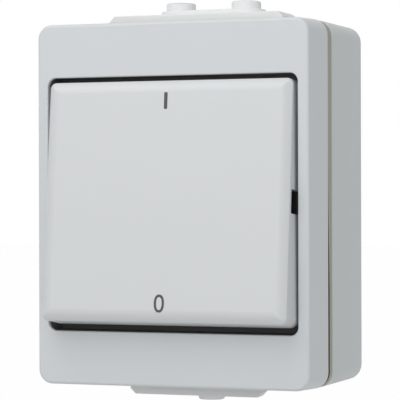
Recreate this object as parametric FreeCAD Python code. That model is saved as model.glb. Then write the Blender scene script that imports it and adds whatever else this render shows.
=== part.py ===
import FreeCAD, Part
import math
import os

# Surface-mounted weatherproof two-pole switch. Lengths are in millimetres and angles in degrees.
# The origin is the middle of the wall face, +Z is up, and the front faces -Y.
# The button is modelled in the position with its top end pressed in.

# Housing
housing_width = 66.6
housing_height = 83.6
housing_depth = 40.0
corner_radius = 3.8
wall = 2.0
rear_wall = 2.4
cover_depth = 12.7
cover_taper = 0.5
cover_edge_radius = 0.7
box_edge_chamfer = 1.0
seam_width = 3.1
gasket_recess = 0.15
gasket_lip_depth = 2.0
gasket_lip_thickness = 1.6
seam_shadow = 0.3

# Window and tray of the cover
frame_side = 3.1
screw_to_window_end = 3.65
window_radius = 1.9
window_edge_chamfer = 0.3
window_lip_depth = 1.2
lining_room = 0.6
tray_depth = 9.0
tray_wall = 1.5
tray_opening_width = 42.0
tray_opening_height = 25.0

# Seal frame
seal_thickness = 1.2
seal_overhang = 0.3
seal_setback = 7.05
seal_lip_width = 1.2
seal_lip_rise = 1.6

# Button
button_tilt = 5.5
pivot_depth = 5.0
button_reach = 9.4
button_side_gap = 1.05
button_end_gap = 1.8
button_face_corner = 0.1
button_bevel_width = 1.35
button_bevel_depth = 1.5
button_draft = 4.5
button_wall = 1.8
button_rim_reach = 0.4
notch_height = 5.4
notch_land = 2.4
rib_thickness = 1.4
stiffener_depth = 1.2

# Cable entries
entry_plate_chamfer = 1.3
entry_plate_lap = 2.9
entry_lining_thickness = 2.0
top_entry_width = 43.2
top_entry_depth = 21.0
top_entry_rise = 2.45
top_entry_corner = 11.0
top_nipple_depth = 11.5
top_nipple_radius = 3.5
top_nipple_rise = 2.0
top_nipple_spacing = 16.5
top_pad_rise = 1.6
bottom_entry_width = 32.8
bottom_entry_depth = 15.5
bottom_entry_rise = 2.75
bottom_entry_corner = 13.4
bottom_nipple_depth = 13.5
bottom_nipple_radius = 3.1
bottom_nipple_rise = 1.7
nipple_wall = 0.9
nipple_bore = 4.0
nipple_edge = 0.3
entry_pad_lap = 1.2

# Screws
screw_to_socket_end = 3.8
cover_screw_length = 12.0
cover_screw_radius = 1.45
cover_head_radius = 2.6
cover_head_rise = 1.5
pillar_half = 3.3
slot_to_housing_end = 8.8
wall_slot_radius = 2.1
wall_slot_length = 7.0
slot_boss_margin = 2.4
slot_boss_rise = 1.0
wall_recess = 0.8
wall_rim = 4.0

# Mechanism
socket_width = 44.0
socket_height = 38.0
socket_floor_depth = 7.0
socket_front_depth = 26.0
lid_thickness = 2.0
cheek_thickness = 2.0
cheek_height = 9.0
cheek_inside = 32.0
cheek_crown = 1.5
cheek_throat = 1.05
coring_depth = 5.5
coring_margin = 3.5
coring_end = 8.0
bar_height = 14.0
bar_width = 36.0
bar_thickness = 2.0
cradle_thickness = 1.2
cradle_rail = 7.0
peg_position = 18.5
peg_half = 1.5
peg_head_half = 2.2
peg_head_rise = 0.8
hook_width = 8.0
hook_thickness = 1.8
hook_nose = 0.9
hook_nose_depth = 1.4
pin_radius = 1.25
pole_spacing = 18.0
chamber_width = 9.0
chamber_height = 22.0
barrel_half = 3.0
barrel_reach = 8.0
plunger_half = 1.9
plunger_length = 8.3
plunger_tip = 0.5
plunger_reach = 14.1
plunger_nose = 3.1
spring_seat_reach = 2.0
spring_radius = 1.4
spring_wire = 0.4
spring_turns = 3
spring_steps = 10
carrier_side_gap = 0.7
carrier_height = 13.0
carrier_thickness = 2.4
carrier_reach = 5.0
hub_wall = 1.9

# Contacts
seesaw_tilt = 6.0
seesaw_width = 6.0
seesaw_thickness = 0.8
seesaw_gap = 0.3
seesaw_lower_arm = 9.6
seesaw_upper_arm = 7.0
knife_radius = 0.4
strip_thickness = 0.8
knife_reach = 4.3
contact_height = 8.0
contact_radius = 1.5
contact_rise = 1.0
contact_margin = 1.0
terminal_position = 15.0
terminal_height = 6.2
terminal_width = 7.2
wire_room = 3.6
leaf_thickness = 0.5
leaf_width = 5.0

# Protective conductor terminal
earth_to_side_wall = 11.3
earth_to_end_wall = 8.8
earth_width = 9.0
earth_depth = 8.0
earth_block_height = 7.0
earth_wall = 1.2
earth_cradle_rim = 1.2
earth_cradle_height = 3.0

# Fits
running_clearance = 0.05
slip_clearance = 0.1
contact_clearance = 0.03
free_clearance = 0.3
overcut = 1.0
pick_margin = 0.01

# Places that follow from the sizes above
front_y = -housing_depth
cover_rim_y = front_y + cover_depth
box_rim_y = cover_rim_y + seam_width
tray_back_y = front_y + tray_depth + tray_wall
tray_floor_y = front_y + tray_depth
pivot_y = front_y + pivot_depth
inner_width = housing_width - 2 * wall
inner_height = housing_height - 2 * wall
inner_corner = corner_radius - wall
carrier_width = cheek_inside - 2 * carrier_side_gap
window_width = housing_width - 2 * frame_side
cover_screw_height = socket_height / 2 + screw_to_socket_end
window_height = 2 * (cover_screw_height + cover_head_radius + screw_to_window_end)
button_width = window_width - 2 * button_side_gap
button_height = window_height - 2 * button_end_gap
lip_back_y = front_y + window_lip_depth
tray_half_x = window_width / 2 + lining_room
tray_half_z = window_height / 2 + lining_room
wall_slot_height = housing_height / 2 - slot_to_housing_end
earth_side = -inner_width / 2 + earth_to_side_wall
earth_height = -inner_height / 2 + earth_to_end_wall
socket_back_y = -socket_floor_depth
socket_front_y = -socket_front_depth
lid_front_y = socket_front_y - lid_thickness
seesaw_y = pivot_y + plunger_reach + free_clearance + seesaw_thickness + seesaw_gap
strip_back_y = seesaw_y + knife_reach
strip_front_y = strip_back_y - strip_thickness
poles = {"left": -pole_spacing / 2, "right": pole_spacing / 2}


def point(x, y, z):
    return FreeCAD.Vector(x, y, z)


def block(x_range, y_range, z_range):
    """Box between two limits on each axis."""
    corner = point(min(x_range), min(y_range), min(z_range))
    size = [abs(pair[1] - pair[0]) for pair in (x_range, y_range, z_range)]
    return Part.makeBox(size[0], size[1], size[2], corner)


def rod_along_x(radius, x_range, y, z):
    length = x_range[1] - x_range[0]
    return Part.makeCylinder(radius, length, point(x_range[0], y, z), point(1, 0, 0))


def rod_along_y(radius, y_range, x, z):
    low, high = sorted(y_range)
    return Part.makeCylinder(radius, high - low, point(x, low, z), point(0, 1, 0))


def rod_along_z(radius, z_range, x, y):
    return Part.makeCylinder(radius, z_range[1] - z_range[0], point(x, y, z_range[0]), point(0, 0, 1))


def prism_along_x(profile, x_range):
    """Extrudes a closed profile of (y, z) corners along X."""
    corners = [point(x_range[0], y, z) for y, z in profile]
    face = Part.Face(Part.makePolygon(corners + corners[:1]))
    return face.extrude(point(x_range[1] - x_range[0], 0, 0))


def outline(width, height, radius, y, x=0.0, z=0.0):
    """Rounded rectangle that faces along Y, with its middle at x and z."""
    arcs = []
    for index, (side, level) in enumerate(((1, 1), (-1, 1), (-1, -1), (1, -1))):
        middle_x = x + side * (width / 2 - radius)
        middle_z = z + level * (height / 2 - radius)
        points = []
        for angle in (90 * index, 90 * index + 45, 90 * index + 90):
            turn = math.radians(angle)
            points.append(point(middle_x + radius * math.cos(turn), y, middle_z + radius * math.sin(turn)))
        arcs.append(points)
    edges = []
    for index, points in enumerate(arcs):
        following = arcs[(index + 1) % len(arcs)]
        edges.append(Part.Arc(*points).toShape())
        if points[2].distanceToPoint(following[0]) > 1e-6:
            edges.append(Part.LineSegment(points[2], following[0]).toShape())
    return Part.Wire(edges)


def plate(width, height, radius, y_range, x=0.0, z=0.0):
    """Straight prism of a rounded rectangle."""
    face = Part.Face(outline(width, height, radius, y_range[0], x, z))
    return face.extrude(point(0, y_range[1] - y_range[0], 0))


def trimmed(width, height, corner, y_range):
    """Straight prism of a rectangle whose corners are cut off."""
    half_x = width / 2
    half_z = height / 2
    outline_points = [(half_x - corner, half_z), (-half_x + corner, half_z), (-half_x, half_z - corner),
                      (-half_x, -half_z + corner), (-half_x + corner, -half_z), (half_x - corner, -half_z),
                      (half_x, -half_z + corner), (half_x, half_z - corner)]
    corners = [point(x, y_range[0], z) for x, z in outline_points]
    face = Part.Face(Part.makePolygon(corners + corners[:1]))
    return face.extrude(point(0, y_range[1] - y_range[0], 0))


def drafted(width, height, radius, y_range, spread):
    """Prism with conical corners whose walls move out by spread from the first end to the second."""
    start, end = y_range
    faces = [Part.Face(outline(width, height, radius, start)),
             Part.Face(outline(width + 2 * spread, height + 2 * spread, radius + spread, end))]
    corners = []
    for index, (side, level) in enumerate(((1, 1), (-1, 1), (-1, -1), (1, -1))):
        axis_x = side * (width / 2 - radius)
        axis_z = level * (height / 2 - radius)
        turn = math.radians(90 * index)
        ray = point(math.cos(turn), 0, math.sin(turn))
        base = point(axis_x, start, axis_z)
        first = base + ray * radius
        second = base + ray * (radius + spread) + point(0, end - start, 0)
        side_line = Part.LineSegment(first, second).toShape()
        faces.append(side_line.revolve(base, point(0, -1, 0), 90))
        ray = point(-math.sin(turn), 0, math.cos(turn))
        last = base + ray * radius
        last_end = base + ray * (radius + spread) + point(0, end - start, 0)
        corners.append((first, second, last, last_end))
    for index, (first, second, last, last_end) in enumerate(corners):
        following, following_end = corners[(index + 1) % len(corners)][:2]
        faces.append(Part.Face(Part.makePolygon([last, following, following_end, last_end, last])))
    shell = Part.makeShell(faces)
    shell.sewShape()
    solid = Part.makeSolid(shell)
    if solid.Volume < 0:
        solid.reverse()
    return solid


def edges_at(shape, y):
    """Edges that lie wholly in the plane at y."""
    return [edge for edge in shape.Edges
            if abs(edge.BoundBox.YMin - y) < pick_margin and abs(edge.BoundBox.YMax - y) < pick_margin]


def tilt_about(shape, y, z, angle):
    turned = shape.copy()
    turned.rotate(point(0, y, z), point(1, 0, 0), angle)
    return turned


def pressed(shape):
    """Turns a piece of the button from its middle position to the pressed one."""
    return tilt_about(shape, pivot_y, 0.0, -button_tilt)


def closed(shape):
    """Turns a piece of a seesaw from its middle position to the closed contact."""
    return tilt_about(shape, seesaw_y, 0.0, seesaw_tilt)


def make_cover():
    body = drafted(housing_width - 2 * cover_taper, housing_height - 2 * cover_taper,
                   corner_radius - cover_taper, (front_y, cover_rim_y), cover_taper)
    body = body.makeFillet(cover_edge_radius, edges_at(body, front_y))
    cavity = trimmed(inner_width, inner_height, inner_corner, (front_y + wall, cover_rim_y))
    tray_x = tray_half_x + tray_wall
    tray_z = tray_half_z + tray_wall
    tray = block((-tray_x, tray_x), (front_y + wall, tray_back_y), (-tray_z, tray_z))
    cover = body.cut(cavity).fuse(tray)
    window = plate(window_width, window_height, window_radius, (front_y - overcut, lip_back_y))
    room = block((-tray_half_x, tray_half_x), (lip_back_y, tray_floor_y), (-tray_half_z, tray_half_z))
    opening = block((-tray_opening_width / 2, tray_opening_width / 2), (tray_floor_y, tray_back_y),
                    (-tray_opening_height / 2, tray_opening_height / 2))
    cover = cover.cut(window).cut(room).cut(opening)
    for level in (-1, 1):
        hole = rod_along_y(cover_screw_radius + slip_clearance, (tray_floor_y, tray_back_y),
                           0.0, level * cover_screw_height)
        cover = cover.cut(hole)
    cover = cover.removeSplitter()
    inner_edges = [edge for edge in edges_at(cover, front_y)
                   if edge.BoundBox.XMax < window_width / 2 + pick_margin
                   and edge.BoundBox.XMin > -window_width / 2 - pick_margin]
    return cover.makeChamfer(window_edge_chamfer, inner_edges)


def make_gasket():
    """Ring between the rims, with a lip that reaches into the cover."""
    front = cover_rim_y + seam_shadow
    lip_front = cover_rim_y - gasket_lip_depth
    ring = plate(housing_width - 2 * gasket_recess, housing_height - 2 * gasket_recess,
                 corner_radius - gasket_recess, (front, box_rim_y))
    lip = trimmed(inner_width - 2 * slip_clearance, inner_height - 2 * slip_clearance,
                  inner_corner, (lip_front, box_rim_y))
    bore_x = inner_width / 2 - gasket_lip_thickness
    bore_z = inner_height / 2 - gasket_lip_thickness
    bore = block((-bore_x, bore_x), (lip_front, box_rim_y), (-bore_z, bore_z))
    return ring.fuse(lip).cut(bore).removeSplitter()


def entry_outline(half_width, front, rear, radius, z):
    """U-shaped outline in plan: straight at the rim and round at the rear corners."""
    left_middle = point(-half_width + radius, rear - radius, z)
    right_middle = point(half_width - radius, rear - radius, z)
    diagonal = radius * math.sqrt(0.5)
    front_left = point(-half_width, front, z)
    front_right = point(half_width, front, z)
    right_start = point(half_width, rear - radius, z)
    right_end = point(half_width - radius, rear, z)
    left_start = point(-half_width + radius, rear, z)
    left_end = point(-half_width, rear - radius, z)
    right_arc = Part.Arc(right_start, right_middle + point(diagonal, diagonal, 0), right_end)
    left_arc = Part.Arc(left_start, left_middle + point(-diagonal, diagonal, 0), left_end)
    return Part.Wire([
        Part.LineSegment(front_left, front_right).toShape(),
        Part.LineSegment(front_right, right_start).toShape(),
        right_arc.toShape(),
        Part.LineSegment(right_end, left_start).toShape(),
        left_arc.toShape(),
        Part.LineSegment(left_end, front_left).toShape(),
    ])


def entry_prism(half_width, front, rear, radius, z_range):
    face = Part.Face(entry_outline(half_width, front, rear, radius, z_range[0]))
    return face.extrude(point(0, 0, z_range[1] - z_range[0]))


def entry_lining(half, rear, cut_corner, z_range):
    """Inner plate of an entry, with its two rear corners cut off."""
    low = z_range[0]
    corners = [point(-half, box_rim_y, low), point(half, box_rim_y, low), point(half, rear - cut_corner, low),
               point(half - cut_corner, rear, low), point(-half + cut_corner, rear, low),
               point(-half, rear - cut_corner, low)]
    face = Part.Face(Part.makePolygon(corners + corners[:1]))
    return face.extrude(point(0, 0, z_range[1] - low))


def entry_slot(width, depth, corner, clearance):
    """Space that an entry takes out of the wall of the box."""
    half = width / 2 - entry_plate_lap + clearance
    rear = box_rim_y + depth - entry_plate_lap + clearance
    radius = corner - entry_plate_lap + clearance
    levels = (inner_height / 2 - overcut, housing_height / 2 + overcut)
    return entry_prism(half, box_rim_y, rear, radius, levels)


def make_entry(width, depth, rise, corner, nipple, spots, pad_rise):
    """Soft plate that slides into the wall of the box from its rim, made for the top wall.

    The nipple is its radius, rise and place in Y, and the spots are the places of the nipples in X.
    """
    radius, nipple_rise, nipple_y = nipple
    outside = housing_height / 2
    inside = inner_height / 2
    rear = box_rim_y + depth
    half = width / 2
    plate_top = outside + rise
    flange = entry_prism(half, box_rim_y, rear, corner, (outside, plate_top))
    outer_edges = [edge for edge in flange.Edges
                   if edge.BoundBox.ZMin > plate_top - pick_margin
                   and edge.BoundBox.YMax > box_rim_y + pick_margin]
    entry = flange.makeChamfer(entry_plate_chamfer, outer_edges)
    neck = entry_prism(half - entry_plate_lap, box_rim_y, rear - entry_plate_lap,
                       corner - entry_plate_lap, (inside, outside))
    lining = entry_lining(half - entry_plate_chamfer, rear - entry_plate_chamfer, corner / 2,
                          (inside - entry_lining_thickness, inside))
    entry = entry.fuse(neck).fuse(lining)
    pad_top = plate_top + pad_rise
    nipple_top = pad_top + nipple_rise
    pad_radius = radius + entry_pad_lap
    if pad_rise > 0:
        for x in spots:
            entry = entry.fuse(rod_along_z(pad_radius, (plate_top, pad_top), x, nipple_y))
        entry = entry.fuse(block((min(spots), max(spots)), (nipple_y - pad_radius, nipple_y + pad_radius),
                                 (plate_top, pad_top)))
    room = nipple_bore / 2
    for x in spots:
        stub = rod_along_z(radius, (plate_top, nipple_top), x, nipple_y)
        rim = [edge for edge in stub.Edges if edge.BoundBox.ZMin > nipple_top - pick_margin]
        entry = entry.fuse(stub.makeChamfer(nipple_edge, rim))
        entry = entry.cut(block((x - room, x + room), (nipple_y - room, nipple_y + room),
                                (inside - entry_lining_thickness, nipple_top - nipple_wall)))
    return entry.removeSplitter()


def upside_down(shape):
    turned = shape.copy()
    turned.rotate(point(0, 0, 0), point(0, 1, 0), 180)
    return turned


def make_top_entry():
    nipple = (top_nipple_radius, top_nipple_rise, -top_nipple_depth)
    spots = (-top_nipple_spacing / 2, top_nipple_spacing / 2)
    return make_entry(top_entry_width, top_entry_depth, top_entry_rise, top_entry_corner, nipple, spots,
                      top_pad_rise)


def make_bottom_entry():
    nipple = (bottom_nipple_radius, bottom_nipple_rise, -bottom_nipple_depth)
    entry = make_entry(bottom_entry_width, bottom_entry_depth, bottom_entry_rise, bottom_entry_corner, nipple,
                       (0.0,), 0.0)
    return upside_down(entry)


def slot_prism(radius, length, y_range, z):
    """Upright slot with round ends."""
    return plate(2 * radius, length, radius - 1e-4, y_range, 0.0, z)


def make_rear_box():
    body = plate(housing_width, housing_height, corner_radius, (box_rim_y, 0.0))
    body = body.makeChamfer(box_edge_chamfer, edges_at(body, 0.0))
    cavity = trimmed(inner_width, inner_height, inner_corner, (box_rim_y, -rear_wall))
    box = body.cut(cavity)
    for piece in box_pillars() + slot_bosses() + cradle_pegs() + [earth_cradle()]:
        box = box.fuse(piece)
    floor_y = -rear_wall
    bore_end = tray_back_y + cover_screw_length
    for level in (-1, 1):
        box = box.cut(rod_along_y(cover_screw_radius + running_clearance, (tray_back_y, bore_end),
                                  0.0, level * cover_screw_height))
        box = box.cut(slot_prism(wall_slot_radius, wall_slot_length, (floor_y - slot_boss_rise, 0.0),
                                 level * wall_slot_height))
    box = box.cut(entry_slot(top_entry_width, top_entry_depth, top_entry_corner, slip_clearance))
    box = box.cut(upside_down(entry_slot(bottom_entry_width, bottom_entry_depth, bottom_entry_corner,
                                         slip_clearance)))
    return box.cut(wall_side_recess()).removeSplitter()


def box_pillars():
    """Square pillars that carry the tray of the cover and take its screws."""
    pillars = []
    for level in (-1, 1):
        middle = level * cover_screw_height
        pillars.append(block((-pillar_half, pillar_half), (tray_back_y, -rear_wall),
                             (middle - pillar_half, middle + pillar_half)))
    return pillars


def slot_land(y_range, level):
    """Rectangular pad round one wall slot."""
    half_x = wall_slot_radius + slot_boss_margin
    half_z = wall_slot_length / 2 + slot_boss_margin
    middle = level * wall_slot_height
    return block((-half_x, half_x), y_range, (middle - half_z, middle + half_z))


def slot_bosses():
    return [slot_land((-rear_wall - slot_boss_rise, -rear_wall), level) for level in (-1, 1)]


def cradle_pegs():
    """Square pegs on the floor, each with a flattened head that holds the cradle."""
    pieces = []
    front = -rear_wall - cradle_thickness
    for side in (-1, 1):
        x = side * peg_position
        pieces.append(block((x - peg_half, x + peg_half), (front, -rear_wall), (-peg_half, peg_half)))
        pieces.append(block((x - peg_head_half, x + peg_head_half), (front - peg_head_rise, front),
                            (-peg_head_half, peg_head_half)))
    return pieces


def make_cradle():
    """Frame on the floor with two bars below the socket and two hooks that snap over its lid."""
    inner = socket_width / 2 + slip_clearance
    outer = inner + hook_thickness
    half_z = bar_height + bar_thickness / 2
    cradle = block((-outer, outer), (-rear_wall - cradle_thickness, -rear_wall), (-half_z, half_z))
    middle = block((-outer + cradle_rail, outer - cradle_rail), (-rear_wall - cradle_thickness, -rear_wall),
                   (-half_z + bar_thickness, half_z - bar_thickness))
    cradle = cradle.cut(middle)
    for level in (-1, 1):
        z = level * bar_height
        cradle = cradle.fuse(block((-bar_width / 2, bar_width / 2), (socket_back_y, -rear_wall),
                                   (z - bar_thickness / 2, z + bar_thickness / 2)))
    nose = inner - hook_nose
    tip = lid_front_y - hook_nose_depth
    room = peg_half + slip_clearance
    for side in (-1, 1):
        corners = [(inner, -rear_wall), (outer, -rear_wall), (outer, tip), (inner, tip), (nose, lid_front_y),
                   (inner, lid_front_y)]
        points = [point(side * x, y, -hook_width / 2) for x, y in corners]
        face = Part.Face(Part.makePolygon(points + points[:1]))
        cradle = cradle.fuse(face.extrude(point(0, 0, hook_width)))
        x = side * peg_position
        cradle = cradle.cut(block((x - room, x + room), (-rear_wall - cradle_thickness, -rear_wall),
                                  (-room, room)))
    return cradle.removeSplitter()


def wall_side_recess():
    """Shallow hollow of the wall face, round the pads of the two slots."""
    recess = block((-housing_width / 2 + wall_rim, housing_width / 2 - wall_rim), (-wall_recess, 0.0),
                   (-housing_height / 2 + wall_rim, housing_height / 2 - wall_rim))
    for level in (-1, 1):
        recess = recess.cut(slot_land((-wall_recess, 0.0), level))
    return recess


def earth_cradle():
    """Low walls that hold the brass block of the protective conductor."""
    wide = earth_width / 2 + slip_clearance
    tall = earth_block_height / 2 + slip_clearance
    rim = earth_cradle_rim
    floor_y = -rear_wall
    front = floor_y - earth_cradle_height
    outer = block((earth_side - wide - rim, earth_side + wide + rim), (front, floor_y),
                  (earth_height - tall, earth_height + tall))
    inner = block((earth_side - wide, earth_side + wide), (front, floor_y),
                  (earth_height - tall, earth_height + tall))
    return outer.cut(inner)


def make_earth_terminal():
    """Brass frame whose window takes the protective conductors and their leaf spring."""
    floor_y = -rear_wall
    front = floor_y - earth_depth
    z_range = (earth_height - earth_block_height / 2, earth_height + earth_block_height / 2)
    body = block((earth_side - earth_width / 2, earth_side + earth_width / 2), (front, floor_y), z_range)
    window = block((earth_side - earth_width / 2 + earth_wall, earth_side + earth_width / 2 - earth_wall),
                   (front + earth_wall, floor_y - earth_wall), z_range)
    return body.cut(window)


def leaf_spring(x, front_y_of_leaf, strip_y, z_inner, z_outer):
    """Bent leaf: one leg lies in front, and the other slants back to the strip from its outer bend."""
    gap = free_clearance
    thick = leaf_thickness
    sign = 1 if z_outer > z_inner else -1
    run = abs(z_outer - z_inner)
    profile = [(front_y_of_leaf, z_inner), (front_y_of_leaf, z_outer),
               (front_y_of_leaf + thick, z_outer),
               (strip_y - gap, z_outer - sign * run * 0.8),
               (strip_y - gap - thick, z_outer - sign * (run * 0.8 + thick)),
               (front_y_of_leaf + 2 * thick, z_outer - sign * 1.5 * thick),
               (front_y_of_leaf + thick, z_outer - sign * 2 * thick),
               (front_y_of_leaf + thick, z_inner)]
    return prism_along_x(profile, (x - leaf_width / 2, x + leaf_width / 2))


def make_earth_spring():
    floor_y = -rear_wall
    half = earth_block_height / 2 - free_clearance
    return leaf_spring(earth_side, floor_y - earth_depth + earth_wall, floor_y - earth_wall,
                       earth_height - half, earth_height + half)


def screw(radius, head_radius, head_rise, seat_y, length, x, z):
    """Screw along Y whose head sits on seat_y and points to the front."""
    shank = rod_along_y(radius, (seat_y, seat_y + length), x, z)
    head = rod_along_y(head_radius, (seat_y - head_rise, seat_y), x, z)
    return shank.fuse(head)


def make_cover_screws():
    return [screw(cover_screw_radius, cover_head_radius, cover_head_rise, tray_floor_y, cover_screw_length,
                  0.0, level * cover_screw_height) for level in (-1, 1)]


def make_rocker_seal():
    """Black frame that lines the tray behind the lip of the window, with a low lip round its opening."""
    back = tray_floor_y
    front = tray_floor_y - seal_thickness
    top = lip_back_y + slip_clearance
    outer_x = tray_half_x - slip_clearance
    outer_z = tray_half_z - slip_clearance
    seal = block((-outer_x, outer_x), (top, back), (-outer_z, outer_z))
    seal = seal.cut(block((-window_width / 2, window_width / 2), (top, front),
                          (-window_height / 2, window_height / 2)))
    bore_x = tray_opening_width / 2 - seal_overhang
    bore_z = tray_opening_height / 2 + seal_setback
    lip = block((-bore_x - seal_lip_width, bore_x + seal_lip_width), (front - seal_lip_rise, front),
                (-bore_z - seal_lip_width, bore_z + seal_lip_width))
    bore = block((-bore_x, bore_x), (front - seal_lip_rise, back), (-bore_z, bore_z))
    head_room = cover_head_radius + free_clearance
    reach = cover_screw_height + head_room
    screw_notches = block((-head_room, head_room), (front - seal_lip_rise, back), (-reach, reach))
    return seal.fuse(lip).cut(bore).cut(screw_notches).removeSplitter()


def make_rocker_plate():
    slope = math.tan(math.radians(button_draft))
    face_y = pivot_y - button_reach
    rim_y = pivot_y - button_rim_reach
    edge_y = face_y + button_bevel_depth
    bevel = drafted(button_width - 2 * button_bevel_width, button_height - 2 * button_bevel_width,
                    button_face_corner, (face_y, edge_y), button_bevel_width)
    skirt = drafted(button_width, button_height, button_face_corner + button_bevel_width,
                    (edge_y, rim_y), slope * (rim_y - edge_y))
    body = bevel.fuse(skirt)
    hollow_x = button_width / 2 - button_wall
    hollow_z = button_height / 2 - button_wall
    hollow = block((-hollow_x, hollow_x), (face_y + button_wall, rim_y), (-hollow_z, hollow_z))
    button = body.cut(hollow).fuse(button_feet())
    notch = block((hollow_x - button_wall, hollow_x + 2 * button_wall), (face_y + notch_land, pivot_y),
                  (-notch_height / 2, notch_height / 2))
    return button.cut(notch).removeSplitter()


def button_feet():
    """Frame behind the face that sits on the carrier."""
    top = pivot_y - button_reach + button_wall
    bottom = pivot_y - carrier_reach
    rib = rib_thickness
    outer = block((-carrier_width / 2, carrier_width / 2), (top, bottom),
                  (-carrier_height / 2, carrier_height / 2))
    inner = block((-carrier_width / 2 + rib, carrier_width / 2 - rib), (top, bottom),
                  (-carrier_height / 2 + rib, carrier_height / 2 - rib))
    frame = outer.cut(inner)
    stiffener = block((-button_width / 2 + button_wall, button_width / 2 - button_wall),
                      (top, top + stiffener_depth), (-rib / 2, rib / 2))
    return frame.fuse(stiffener)


def make_inner_rocker():
    """Carrier with a plate for the button, a hub round the pin and two spring barrels."""
    front = pivot_y - carrier_reach
    body = block((-carrier_width / 2, carrier_width / 2), (front, front + carrier_thickness),
                 (-carrier_height / 2, carrier_height / 2))
    hub = pin_radius + hub_wall
    profile = [(front + carrier_thickness, hub), (pivot_y + hub / 2, hub), (pivot_y + hub, hub / 2),
               (pivot_y + hub, -hub / 2), (pivot_y + hub / 2, -hub), (front + carrier_thickness, -hub)]
    body = body.fuse(prism_along_x(profile, (-carrier_width / 2, carrier_width / 2)))
    for x in poles.values():
        body = body.fuse(block((x - barrel_half, x + barrel_half), (pivot_y, pivot_y + barrel_reach),
                               (-barrel_half, barrel_half)))
    for x in poles.values():
        room = plunger_half + slip_clearance
        body = body.cut(block((x - room, x + room), (pivot_y + spring_seat_reach, pivot_y + barrel_reach),
                              (-room, room)))
    bore = rod_along_x(pin_radius + running_clearance, (-carrier_width / 2, carrier_width / 2), pivot_y, 0.0)
    return body.cut(bore).removeSplitter()


def make_plunger(x):
    """Square plunger with a wedge-shaped nose."""
    tip = pivot_y + plunger_reach
    shoulder = tip - plunger_nose
    start = tip - plunger_length
    profile = [(start, -plunger_half), (shoulder, -plunger_half), (tip, -plunger_tip),
               (tip, plunger_tip), (shoulder, plunger_half), (start, plunger_half)]
    return prism_along_x(profile, (x - plunger_half, x + plunger_half))


def make_spring(x):
    """Helical spring of square wire between the bottom of the barrel and the plunger."""
    start = pivot_y + spring_seat_reach
    end = pivot_y + plunger_reach - plunger_length
    free_length = end - start - spring_wire
    half = spring_wire / 2
    steps = int(spring_turns * spring_steps)
    rings = []
    for step in range(steps + 1):
        turn = math.radians(360 / spring_steps * step)
        y = start + half + free_length * step / steps
        ring = [(spring_radius - half, -half), (spring_radius + half, -half),
                (spring_radius + half, half), (spring_radius - half, half)]
        rings.append([point(x + reach * math.cos(turn), y + rise, reach * math.sin(turn))
                      for reach, rise in ring])
    faces = [Part.Face(Part.makePolygon(rings[0] + rings[0][:1])),
             Part.Face(Part.makePolygon(rings[-1] + rings[-1][:1]))]
    for first, second in zip(rings, rings[1:]):
        for side in range(4):
            after = (side + 1) % 4
            faces.append(Part.Face(Part.makePolygon([first[side], first[after], second[after], first[side]])))
            faces.append(Part.Face(Part.makePolygon([first[side], second[after], second[side], first[side]])))
    shell = Part.makeShell(faces)
    shell.sewShape()
    coil = Part.makeSolid(shell)
    if coil.Volume < 0:
        coil.reverse()
    return coil


def make_seesaw(x):
    """Tilting contact strip, with a groove at the back that rests on the knife edge."""
    back = seesaw_y - seesaw_gap
    front = back - seesaw_thickness
    strip = block((x - seesaw_width / 2, x + seesaw_width / 2), (front, back),
                  (-seesaw_lower_arm, seesaw_upper_arm))
    groove = rod_along_x(knife_radius + running_clearance, (x - seesaw_width, x + seesaw_width), seesaw_y, 0.0)
    return strip.cut(groove)


def make_moving_contact(x):
    """Square contact tip on the back of the lower arm."""
    back = seesaw_y - seesaw_gap
    return block((x - contact_radius, x + contact_radius), (back, back + contact_rise),
                 (-contact_height - contact_radius, -contact_height + contact_radius))


def make_fixed_tip(x):
    """Square contact tip on the fixed strip, whose face is slanted to meet the closed moving one."""
    face = seesaw_y - seesaw_gap + contact_rise + contact_clearance
    reach = 2 * (strip_front_y - face)
    tip = block((x - contact_radius, x + contact_radius), (face, face + reach),
                (-contact_height - contact_radius, -contact_height + contact_radius))
    in_front_of_strip = block((x - reach, x + reach), (seesaw_y, strip_front_y),
                              (-contact_height - reach, -contact_height + reach))
    return closed(tip).common(in_front_of_strip)


def make_fixed_contact(x):
    """Strip below the rivet that runs down into the lower clamp."""
    return block((x - seesaw_width / 2, x + seesaw_width / 2), (strip_front_y, strip_back_y),
                 (-terminal_position - terminal_height / 2 + slip_clearance,
                  -contact_height + contact_radius + contact_margin))


def make_bearing(x):
    """Strip with an upstanding knife edge for the seesaw, which runs up into the upper clamp."""
    strip = block((x - seesaw_width / 2, x + seesaw_width / 2), (strip_front_y, strip_back_y),
                  (-knife_radius, terminal_position + terminal_height / 2 - slip_clearance))
    tab = block((x - seesaw_width / 2, x + seesaw_width / 2), (seesaw_y, strip_back_y),
                (-knife_radius, knife_radius))
    edge = rod_along_x(knife_radius, (x - seesaw_width / 2, x + seesaw_width / 2), seesaw_y, 0.0)
    return strip.fuse(tab).fuse(edge).removeSplitter()


def make_terminal_spring(x, level):
    inner = level * (terminal_position - terminal_height / 2 + slip_clearance)
    outer = level * (terminal_position + terminal_height / 2 - slip_clearance)
    return leaf_spring(x, socket_front_y, strip_front_y, inner, outer)


def terminal_pocket(x, level):
    middle = level * terminal_position
    half_x = terminal_width / 2
    half_z = terminal_height / 2
    return block((x - half_x, x + half_x), (socket_front_y, strip_back_y), (middle - half_z, middle + half_z))


def wire_entry(x, level):
    """Opening through the end wall of the socket in front of the strip."""
    half = wire_room / 2
    return block((x - half, x + half), (strip_front_y - wire_room, strip_front_y),
                 (level * terminal_position, level * (socket_height / 2 + overcut)))


def strip_slot(x, level):
    """Slot in the web between the chamber and a pocket, through which a strip passes."""
    room = seesaw_width / 2 + slip_clearance
    return block((x - room, x + room), (strip_front_y - slip_clearance, strip_back_y),
                 (0.0, level * terminal_position))


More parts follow.
